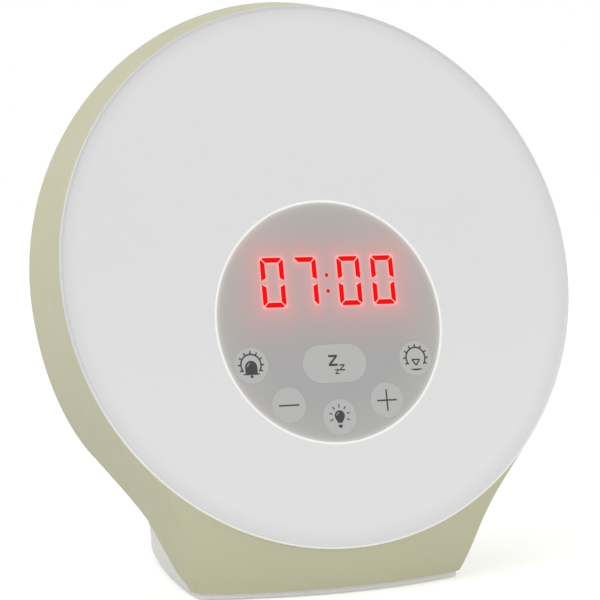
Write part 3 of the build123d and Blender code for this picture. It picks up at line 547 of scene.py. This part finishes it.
def full_cap(name):
    """The key under a cap that fills its opening to a hair's width, flush with the panel."""
    stem = nodes[name].data.copy()
    stem.transform(panel_frame.inverted() @ nodes[name].matrix_world)
    for vertex in stem.vertices:
        vertex.co.z = min(vertex.co.z, -cap_thickness / 2)
    long_key = name == "snooze_key"
    straight = (snooze_length - snooze_width) / 2 if long_key else 0
    radius = (snooze_width / 2 if long_key else round_key_radius) + opening_gap - cap_gap
    across, rise = key_middle(name)
    form = bmesh.new()
    outline = [(across + x, rise + y) for x, y in rounded_bar(straight, radius)]
    prism(form, outline, -cap_thickness, 0)
    form.from_mesh(stem)
    bpy.data.meshes.remove(stem)
    whole = mesh_from(form, name + "_cap")
    whole.transform(panel_frame)
    whole.materials.append(key_film)
    made = in_scene(name + "_cap", whole)
    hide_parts(name)
    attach(made, name + "_body")


for key in key_places:
    full_cap(key)


# ---- Printed symbols on the keys -----------------------------------------------------------------

ink_print = moulded("ink_print", ink, 0.6, 0.03, 4000, 0.003 * mm, 0.3)
pale_print = moulded("pale_print", shade(key_grey, 0.9), 0.6, 0.03, 4000, 0.003 * mm, 0.3)


def plate(form, outline, coat=dark_coat):
    """A flat closed shape of the print's thickness, from its outline, in its coat of print."""
    foot = coat * print_thickness
    for face in prism(form, outline, foot, foot + print_thickness):
        face.material_index = coat


def stroke(form, points, width, coat=dark_coat):
    """A line of even width along points, with square ends."""
    left, right = [], []
    for here, point in enumerate(points):
        before = Vector(points[max(here - 1, 0)])
        after = Vector(points[min(here + 1, len(points) - 1)])
        along = (after - before).normalized()
        side = Vector((-along.y, along.x)) * (width / 2)
        left.append(tuple(Vector(point) + side))
        right.append(tuple(Vector(point) - side))
    plate(form, right + list(reversed(left)), coat)


def ray_tree():
    """Geometry nodes that set short bars round an arc, pointing outwards."""
    tree = bpy.data.node_groups.new("rays_round_arc", "GeometryNodeTree")
    sockets = {"Geometry": "NodeSocketGeometry", "Count": "NodeSocketInt"}
    for name in ("Radius", "Length", "Stroke", "Height", "First Angle", "Step Angle"):
        sockets[name] = "NodeSocketFloat"
    sockets["Material"] = "NodeSocketMaterial"
    for name, kind in sockets.items():
        tree.interface.new_socket(name, in_out="INPUT", socket_type=kind)
    tree.interface.new_socket("Geometry", in_out="OUTPUT", socket_type="NodeSocketGeometry")
    given = put(tree, "NodeGroupInput").outputs
    line = put(tree, "GeometryNodeMeshLine", {"Count": given["Count"], "Offset": (0, 0, 0)})
    index = put(tree, "GeometryNodeInputIndex").outputs[0]
    turn = maths(tree, "MULTIPLY_ADD", index, given["Step Angle"], given["First Angle"])
    reach = maths(tree, "MULTIPLY_ADD", given["Length"], 0.5, given["Radius"])
    spot = put(tree, "ShaderNodeCombineXYZ", {
        "X": maths(tree, "MULTIPLY", reach, maths(tree, "COSINE", turn)),
        "Y": maths(tree, "MULTIPLY", reach, maths(tree, "SINE", turn)),
        "Z": maths(tree, "MULTIPLY", given["Height"], 0.5)})
    placed = put(tree, "GeometryNodeSetPosition", {
        "Geometry": line.outputs[0], "Position": spot.outputs[0]})
    size = put(tree, "ShaderNodeCombineXYZ", {
        "X": given["Length"], "Y": given["Stroke"], "Z": given["Height"]})
    bar = put(tree, "GeometryNodeMeshCube", {"Size": size.outputs[0]})
    facing = put(tree, "ShaderNodeCombineXYZ", {"Z": turn})
    set_out = put(tree, "GeometryNodeInstanceOnPoints", {
        "Points": placed.outputs[0], "Instance": bar.outputs["Mesh"],
        "Rotation": facing.outputs[0]})
    real = put(tree, "GeometryNodeRealizeInstances", {"Geometry": set_out.outputs[0]})
    inked = put(tree, "GeometryNodeSetMaterial", {
        "Geometry": real.outputs[0], "Material": given["Material"]})
    put(tree, "NodeGroupOutput", {"Geometry": inked.outputs[0]})
    return tree


rays_round_arc = ray_tree()


def grown(tree, values):
    """The plain mesh that a geometry nodes tree makes with these inputs."""
    host = in_scene("host", bpy.data.meshes.new("host"))
    modifier = host.modifiers.new("grown", "NODES")
    modifier.node_group = tree
    for item in tree.interface.items_tree:
        if item.in_out == "INPUT" and item.name in values:
            modifier[item.identifier] = values[item.name]
    bpy.context.view_layer.update()
    evaluated = host.evaluated_get(bpy.context.evaluated_depsgraph_get())
    mesh = bpy.data.meshes.new_from_object(evaluated)
    bpy.data.objects.remove(host)
    return mesh


def add_rays(form, centre, radius, length, width, count, first, step):
    """Rays round an arc, added to a symbol: so many, from a first angle by steps in degrees."""
    mesh = grown(rays_round_arc, {
        "Count": count, "Radius": radius, "Length": length, "Stroke": width,
        "Height": print_thickness, "First Angle": math.radians(first),
        "Step Angle": math.radians(step), "Material": ink_print})
    mesh.transform(Matrix.Translation((*centre, 0)))
    for polygon in mesh.polygons:
        polygon.material_index = dark_coat
    form.from_mesh(mesh)
    bpy.data.meshes.remove(mesh)


def symbol(name, key, draw):
    """A printed symbol on a key's face, which rides with the key."""
    form = bmesh.new()
    draw(form)
    bmesh.ops.recalc_face_normals(form, faces=form.faces)
    mesh = mesh_from(form, name)
    mesh.transform(panel_frame @ Matrix.Translation((*key_middle(key), 0)))
    mesh.materials.append(ink_print)
    mesh.materials.append(pale_print)
    made = in_scene(name, mesh)
    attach(made, key + "_body")


def draw_sun(form):
    """A sun: an arc open at the bottom, with rays, the last two at its ends."""
    middle = (0, sun_rise)
    stroke(form, bend(middle, sun_radius, -38, 218, 40), sun_stroke)
    add_rays(form, middle, sun_radius + sun_stroke / 4, ray_length, ray_stroke, 7, 0, 30)
    add_rays(form, middle, sun_radius, ray_length, ray_stroke, 2, -28, 236)


def draw_alarm(form):
    """A bell in front of a sun."""
    half, foot, top = 2.05 * mm, -2.6 * mm, -0.55 * mm
    brim, lip, clapper = 2.7 * mm, 0.38 * mm, 0.48 * mm
    shine_radius, shine_stroke = half * 0.62, 0.3 * mm
    draw_sun(form)
    dome = bend((0, top), half, 0, 180, 20)
    plate(form, [(half, foot)] + dome + [(-half, foot)])
    plate(form, [(brim, foot - lip), (brim, foot), (-brim, foot), (-brim, foot - lip)])
    plate(form, bend((0, foot - 2.4 * lip), clapper, 0, 360, 12)[:-1])
    stroke(form, bend((0, top), shine_radius, 105, 172, 8), shine_stroke, pale_coat)


def draw_sunset(form):
    """A sun that sinks: its arc, a hollow arrow head and a curved horizon."""
    half, top, tip, line = 1.4 * mm, -0.45 * mm, -2.3 * mm, 0.44 * mm
    draw_sun(form)
    stroke(form, [(-half, top), (half, top)], line)
    stroke(form, [(-half, top), (0, tip)], line)
    stroke(form, [(half, top), (0, tip)], line)
    lower = bend((0, 0.9 * mm), 4.9 * mm, 243, 297, 16)
    upper = bend((0, 4.1 * mm), 7.9 * mm, 286.4, 253.6, 16)
    plate(form, lower + upper)


def letter_z(form, centre, width, height, line):
    """A letter z: two level bars and a slanting stroke between them."""
    x, y = centre
    left, right, top, foot = x - width / 2, x + width / 2, y + height / 2, y - height / 2
    under, over, slope = top - line, foot + line, line * 1.25
    plate(form, [(left, under), (left, top), (right, top), (right, under)])
    plate(form, [(left, foot), (left, over), (right, over), (right, foot)])
    plate(form, [(left, over), (right - slope, under), (right, under), (left + slope, over)])


def draw_snooze(form):
    """Three letters z, each smaller than the last."""
    letter_z(form, (-0.6 * mm, 0.95 * mm), 3.0 * mm, 3.6 * mm, 0.72 * mm)
    letter_z(form, (2.4 * mm, -1.4 * mm), 1.8 * mm, 2.0 * mm, 0.42 * mm)
    letter_z(form, (0.6 * mm, -2.7 * mm), 1.45 * mm, 1.6 * mm, 0.36 * mm)


def draw_minus(form):
    """A minus sign."""
    stroke(form, [(-sign_reach, 0), (sign_reach, 0)], sign_stroke)


def draw_plus(form):
    """A plus sign."""
    draw_minus(form)
    stroke(form, [(0, sign_stroke / 2), (0, sign_reach)], sign_stroke)
    stroke(form, [(0, -sign_reach), (0, -sign_stroke / 2)], sign_stroke)


def draw_lamp(form):
    """A light bulb with rays."""
    middle, globe_radius = (0, 0.45 * mm), 1.75 * mm
    neck, foot, base = 0.72 * mm, -1.85 * mm, -2.45 * mm
    tip, cap_foot = neck * 0.7, base - 0.95 * mm
    shine_radius, shine_stroke = 1.05 * mm, 0.28 * mm
    ray_radius, lamp_ray, lamp_ray_stroke = 2.6 * mm, 1.05 * mm, 0.36 * mm
    globe = bend(middle, globe_radius, -36, 216, 28)
    plate(form, globe + [(-neck, foot), (neck, foot)])
    plate(form, [(-neck, base), (neck, base), (tip, cap_foot), (-tip, cap_foot)])
    stroke(form, bend(middle, shine_radius, 100, 175, 8), shine_stroke, pale_coat)
    add_rays(form, middle, ray_radius, lamp_ray, lamp_ray_stroke, 7, -24, 38)


symbols = {
    "alarm_key": draw_alarm,
    "sunset_key": draw_sunset,
    "snooze_key": draw_snooze,
    "minus_key": draw_minus,
    "plus_key": draw_plus,
    "lamp_key": draw_lamp,
}
for key, draw in symbols.items():
    symbol(key.replace("_key", "_symbol"), key, draw)


# ---- Floor, light and camera ---------------------------------------------------------------------

sky_strength = 0.74
floor_reach = 3
floor_lift = 0.36           # the floor's own light, for the camera alone
lamps = {                   # place, size and power of each
    "key_light": ((-1.1, -0.8, 1.2), 0.9, 7),
    "fill_light": ((0.9, -1.0, 0.5), 0.8, 1.8),
}
camera_turn, camera_tip = math.radians(23.784), math.radians(3.372)
camera_distance = 0.65941
camera_lens, camera_sensor = 123, 36            # millimetres
camera_shift = (-0.04685, -0.04854)


def soft_world():
    """Even light from all round, and plain white where the world is seen itself."""
    world = bpy.data.worlds.new("studio")
    world.use_nodes = True
    bpy.context.scene.world = world
    tree = world.node_tree
    tree.nodes.clear()
    light = put(tree, "ShaderNodeBackground", {"Color": sky_light, "Strength": sky_strength})
    white = put(tree, "ShaderNodeBackground", {"Color": white_light, "Strength": 1.0})
    rays = put(tree, "ShaderNodeLightPath").outputs
    seen = maths(tree, "MAXIMUM", rays["Is Camera Ray"], rays["Is Glossy Ray"])
    seen = maths(tree, "MAXIMUM", seen, rays["Is Transmission Ray"])
    shown = put(tree, "ShaderNodeMixShader", {0: seen, 1: light.outputs[0], 2: white.outputs[0]})
    put(tree, "ShaderNodeOutputWorld", {"Surface": shown.outputs[0]})


def pale_floor():
    """A wide pale floor at the clock's feet, which keeps its shadow."""
    mesh = bpy.data.meshes.new("floor")
    far = floor_reach
    corners = [(-far, -far, 0), (far, -far, 0), (far, far, 0), (-far, far, 0)]
    mesh.from_pydata(corners, [], [(0, 1, 2, 3)])
    made = in_scene("floor", mesh)
    material, tree, shader, place = new_material("pale_floor")
    wire(tree, shader, {
        "Base Color": mottle(tree, place, floor_white, 0.004, 9), "Specular IOR Level": 0.0})
    worn_roughness(tree, place, shader, 0.8, 0.05, 20)
    seen = put(tree, "ShaderNodeLightPath").outputs["Is Camera Ray"]
    strength = maths(tree, "MULTIPLY", seen, floor_lift)
    lift = put(tree, "ShaderNodeEmission", {"Color": white_light, "Strength": strength})
    both = put(tree, "ShaderNodeAddShader", {0: shader.outputs[0], 1: lift.outputs[0]})
    output = next(node for node in tree.nodes if node.type == "OUTPUT_MATERIAL")
    wire(tree, output, {"Surface": both.outputs[0]})
    mesh.materials.append(material)


def soft_box(name, place, size, power):
    """A square lamp that shines at the disc's middle."""
    lamp = bpy.data.lights.new(name, "AREA")
    lamp.shape = "SQUARE"
    lamp.size = size
    lamp.energy = power
    made = in_scene(name, lamp)
    made.location = place
    made.rotation_euler = (disc_centre - Vector(place)).to_track_quat("-Z", "Y").to_euler()


def portrait_camera():
    """The camera, to the left of the clock's axis and a little above it."""
    level = math.cos(camera_tip)
    view = Vector((
        math.sin(camera_turn) * level, math.cos(camera_turn) * level, -math.sin(camera_tip)))
    lens = bpy.data.cameras.new("camera")
    lens.sensor_width = camera_sensor
    lens.lens = camera_lens
    lens.shift_x, lens.shift_y = camera_shift
    made = in_scene("camera", lens)
    made.location = disc_centre - view * camera_distance
    made.rotation_euler = view.to_track_quat("-Z", "Y").to_euler()
    bpy.context.scene.camera = made


soft_world()
pale_floor()
for name, (place, size, power) in lamps.items():
    soft_box(name, place, size, power)
portrait_camera()
bpy.context.scene.view_settings.view_transform = "Standard"
